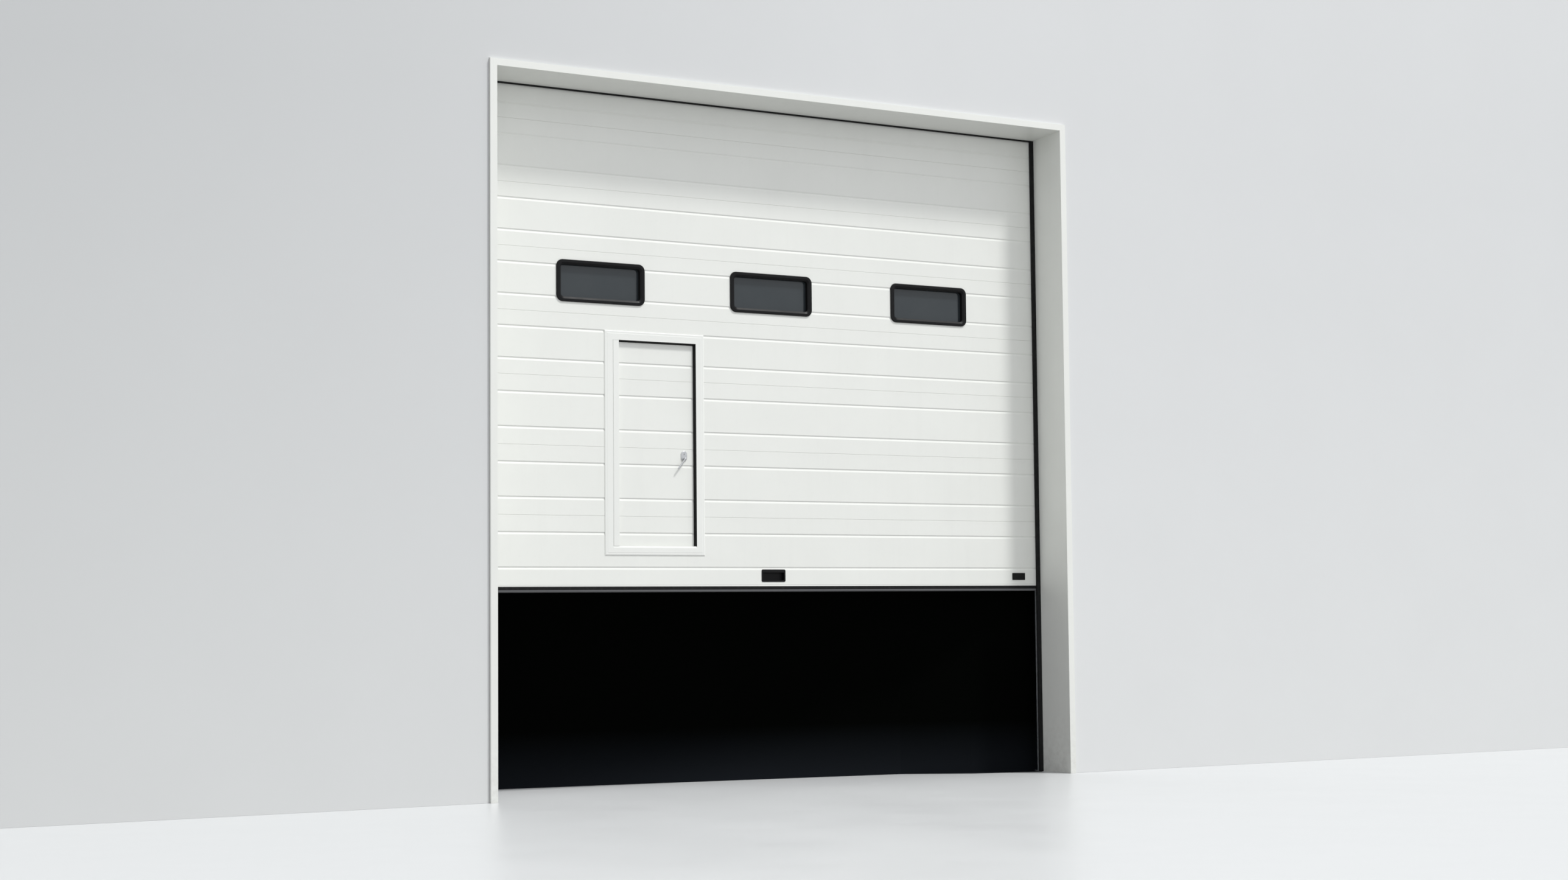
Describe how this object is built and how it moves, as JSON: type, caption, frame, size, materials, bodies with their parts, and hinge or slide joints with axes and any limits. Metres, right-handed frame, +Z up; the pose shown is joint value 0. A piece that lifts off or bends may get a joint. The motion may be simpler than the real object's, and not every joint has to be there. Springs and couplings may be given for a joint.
{
  "type": "sectional overhead door",
  "caption": "White insulated sectional door in a deep reveal frame, with a wicket door, a glazed band, vertical-lift guides, rollers and a spring-balanced shaft.",
  "frame": {"origin": "floor level at the centre of the opening, on the reveal frame's front plane", "axes": "+X right along the door seen from outside, +Y into the building, +Z up"},
  "size_m": [6.433, 0.7969, 13.2],
  "materials": {
    "frame_white": "satin powder coat",
    "seal_black": "matte",
    "lip_grey": "matte",
    "galvanised": "galvanised",
    "section_white": "satin coil coat",
    "profile_white": "satin powder coat",
    "window_black": "fine grain",
    "glazing": "clear tinted",
    "roller_nylon": "smooth",
    "hinge_steel": "satin",
    "handle_steel": "brushed",
    "shaft_steel": "turned",
    "drum_alloy": "cast",
    "spring_steel": "oiled",
    "operator_grey": "hammered"
  },
  "bodies": {
    "frame": {"jamb_right": "frame_white", "jamb_left": "frame_white", "head_lining": "frame_white", "frame_seals": "seal_black", "guide_angles": "galvanised", "tracks": "galvanised", "track_brackets": "galvanised", "torsion_springs": "spring_steel", "anchor_cones": "galvanised", "bearing_plates": "galvanised", "shaft_beam": "galvanised", "shaft_bearings": "shaft_steel", "operator": "operator_grey"},
    "leaf": {"section_01": "section_white", "section_02": "section_white", "section_03": "section_white", "section_04": "section_white", "section_05": "section_white", "section_06": "section_white", "section_07": "section_white", "section_08": "section_white", "section_09": "section_white", "section_10": "section_white", "section_11": "section_white", "end_caps": "galvanised", "centre_hinges": "galvanised", "roller_carriers": "galvanised", "bottom_profile": "profile_white", "bottom_seal": "seal_black", "bottom_lip": "lip_grey", "bottom_brackets": "galvanised", "window_frames": "window_black", "window_panes": "glazing", "window_inner_frames": "window_black", "lift_handle": "window_black", "bolt_plate": "window_black", "wicket_frame": "profile_white", "wicket_gasket": "seal_black", "wicket_hinges_fixed": "hinge_steel"},
    "wicket": {"wicket_stiles": "profile_white", "wicket_panels": "section_white", "wicket_hinges_moving": "hinge_steel", "handle_plates": "handle_steel"},
    "lever": {"lever": "handle_steel"},
    "latch": {"latch_bolt": "handle_steel"},
    "shaft": {"shaft": "shaft_steel", "cable_drums": "drum_alloy", "winding_cones": "galvanised"},
    "roller_pair_01_body": {"roller_pair_01": "roller_nylon"},
    "roller_pair_02_body": {"roller_pair_02": "roller_nylon"},
    "roller_pair_03_body": {"roller_pair_03": "roller_nylon"},
    "roller_pair_04_body": {"roller_pair_04": "roller_nylon"},
    "roller_pair_05_body": {"roller_pair_05": "roller_nylon"},
    "roller_pair_06_body": {"roller_pair_06": "roller_nylon"},
    "roller_pair_07_body": {"roller_pair_07": "roller_nylon"},
    "roller_pair_08_body": {"roller_pair_08": "roller_nylon"},
    "roller_pair_09_body": {"roller_pair_09": "roller_nylon"},
    "roller_pair_10_body": {"roller_pair_10": "roller_nylon"},
    "roller_pair_11_body": {"roller_pair_11": "roller_nylon"},
    "roller_pair_12_body": {"roller_pair_12": "roller_nylon"}
  },
  "joints": [
    {"name": "leaf_lift", "type": "slide", "parent": "frame", "child": "leaf", "axis": [0, 0, 1], "range_m": [-1.753, 4.49], "stiffness_N_per_m": 180, "springref_m": 33.6},
    {"name": "shaft_turn", "type": "hinge", "parent": "frame", "child": "shaft", "pos_m": [0, 0.645, 12.98], "axis": [1, 0, 0], "range_deg": [-1845, 725]},
    {"name": "wicket_swing", "type": "hinge", "parent": "leaf", "child": "wicket", "pos_m": [-1.703, 0.524, 3.077], "axis": [0, 0, 1], "range_deg": [0, 100]},
    {"name": "lever_turn", "type": "hinge", "parent": "wicket", "child": "lever", "pos_m": [-0.95, 0.495, 2.95], "axis": [0, -1, 0], "range_deg": [0, 40], "stiffness_Nm_per_rad": 1.5, "springref_deg": -34.38},
    {"name": "latch_slide", "type": "slide", "parent": "wicket", "child": "latch", "axis": [-1, 0, 0], "range_m": [0, 0.013]},
    {"name": "roller_turn_01", "type": "hinge", "parent": "leaf", "child": "roller_pair_01_body", "pos_m": [0, 0.523, 1.865], "axis": [1, 0, 0], "range_deg": [-4030, 10300]},
    {"name": "roller_turn_02", "type": "hinge", "parent": "leaf", "child": "roller_pair_02_body", "pos_m": [0, 0.523, 2.426], "axis": [1, 0, 0], "range_deg": [-4030, 10300]},
    {"name": "roller_turn_03", "type": "hinge", "parent": "leaf", "child": "roller_pair_03_body", "pos_m": [0, 0.523, 3.036], "axis": [1, 0, 0], "range_deg": [-4030, 10300]},
    {"name": "roller_turn_04", "type": "hinge", "parent": "leaf", "child": "roller_pair_04_body", "pos_m": [0, 0.523, 3.646], "axis": [1, 0, 0], "range_deg": [-4030, 10300]},
    {"name": "roller_turn_05", "type": "hinge", "parent": "leaf", "child": "roller_pair_05_body", "pos_m": [0, 0.523, 4.206], "axis": [1, 0, 0], "range_deg": [-4030, 10300]},
    {"name": "roller_turn_06", "type": "hinge", "parent": "leaf", "child": "roller_pair_06_body", "pos_m": [0, 0.523, 4.766], "axis": [1, 0, 0], "range_deg": [-4030, 10300]},
    {"name": "roller_turn_07", "type": "hinge", "parent": "leaf", "child": "roller_pair_07_body", "pos_m": [0, 0.523, 5.326], "axis": [1, 0, 0], "range_deg": [-4030, 10300]},
    {"name": "roller_turn_08", "type": "hinge", "parent": "leaf", "child": "roller_pair_08_body", "pos_m": [0, 0.523, 5.886], "axis": [1, 0, 0], "range_deg": [-4030, 10300]},
    {"name": "roller_turn_09", "type": "hinge", "parent": "leaf", "child": "roller_pair_09_body", "pos_m": [0, 0.523, 6.446], "axis": [1, 0, 0], "range_deg": [-4030, 10300]},
    {"name": "roller_turn_10", "type": "hinge", "parent": "leaf", "child": "roller_pair_10_body", "pos_m": [0, 0.523, 7.006], "axis": [1, 0, 0], "range_deg": [-4030, 10300]},
    {"name": "roller_turn_11", "type": "hinge", "parent": "leaf", "child": "roller_pair_11_body", "pos_m": [0, 0.523, 7.566], "axis": [1, 0, 0], "range_deg": [-4030, 10300]},
    {"name": "roller_turn_12", "type": "hinge", "parent": "leaf", "child": "roller_pair_12_body", "pos_m": [0, 0.523, 8.077], "axis": [1, 0, 0], "range_deg": [-4030, 10300]}
  ],
  "couplings": [
    {"joint": "shaft_turn", "follows": "leaf_lift", "rad_per_m": -7.1429},
    {"joint": "latch_slide", "follows": "lever_turn", "m_per_rad": 0.0172},
    {"joint": "roller_turn_01", "follows": "leaf_lift", "rad_per_m": 40},
    {"joint": "roller_turn_02", "follows": "leaf_lift", "rad_per_m": 40},
    {"joint": "roller_turn_03", "follows": "leaf_lift", "rad_per_m": 40},
    {"joint": "roller_turn_04", "follows": "leaf_lift", "rad_per_m": 40},
    {"joint": "roller_turn_05", "follows": "leaf_lift", "rad_per_m": 40},
    {"joint": "roller_turn_06", "follows": "leaf_lift", "rad_per_m": 40},
    {"joint": "roller_turn_07", "follows": "leaf_lift", "rad_per_m": 40},
    {"joint": "roller_turn_08", "follows": "leaf_lift", "rad_per_m": 40},
    {"joint": "roller_turn_09", "follows": "leaf_lift", "rad_per_m": 40},
    {"joint": "roller_turn_10", "follows": "leaf_lift", "rad_per_m": 40},
    {"joint": "roller_turn_11", "follows": "leaf_lift", "rad_per_m": 40},
    {"joint": "roller_turn_12", "follows": "leaf_lift", "rad_per_m": 40}
  ]
}
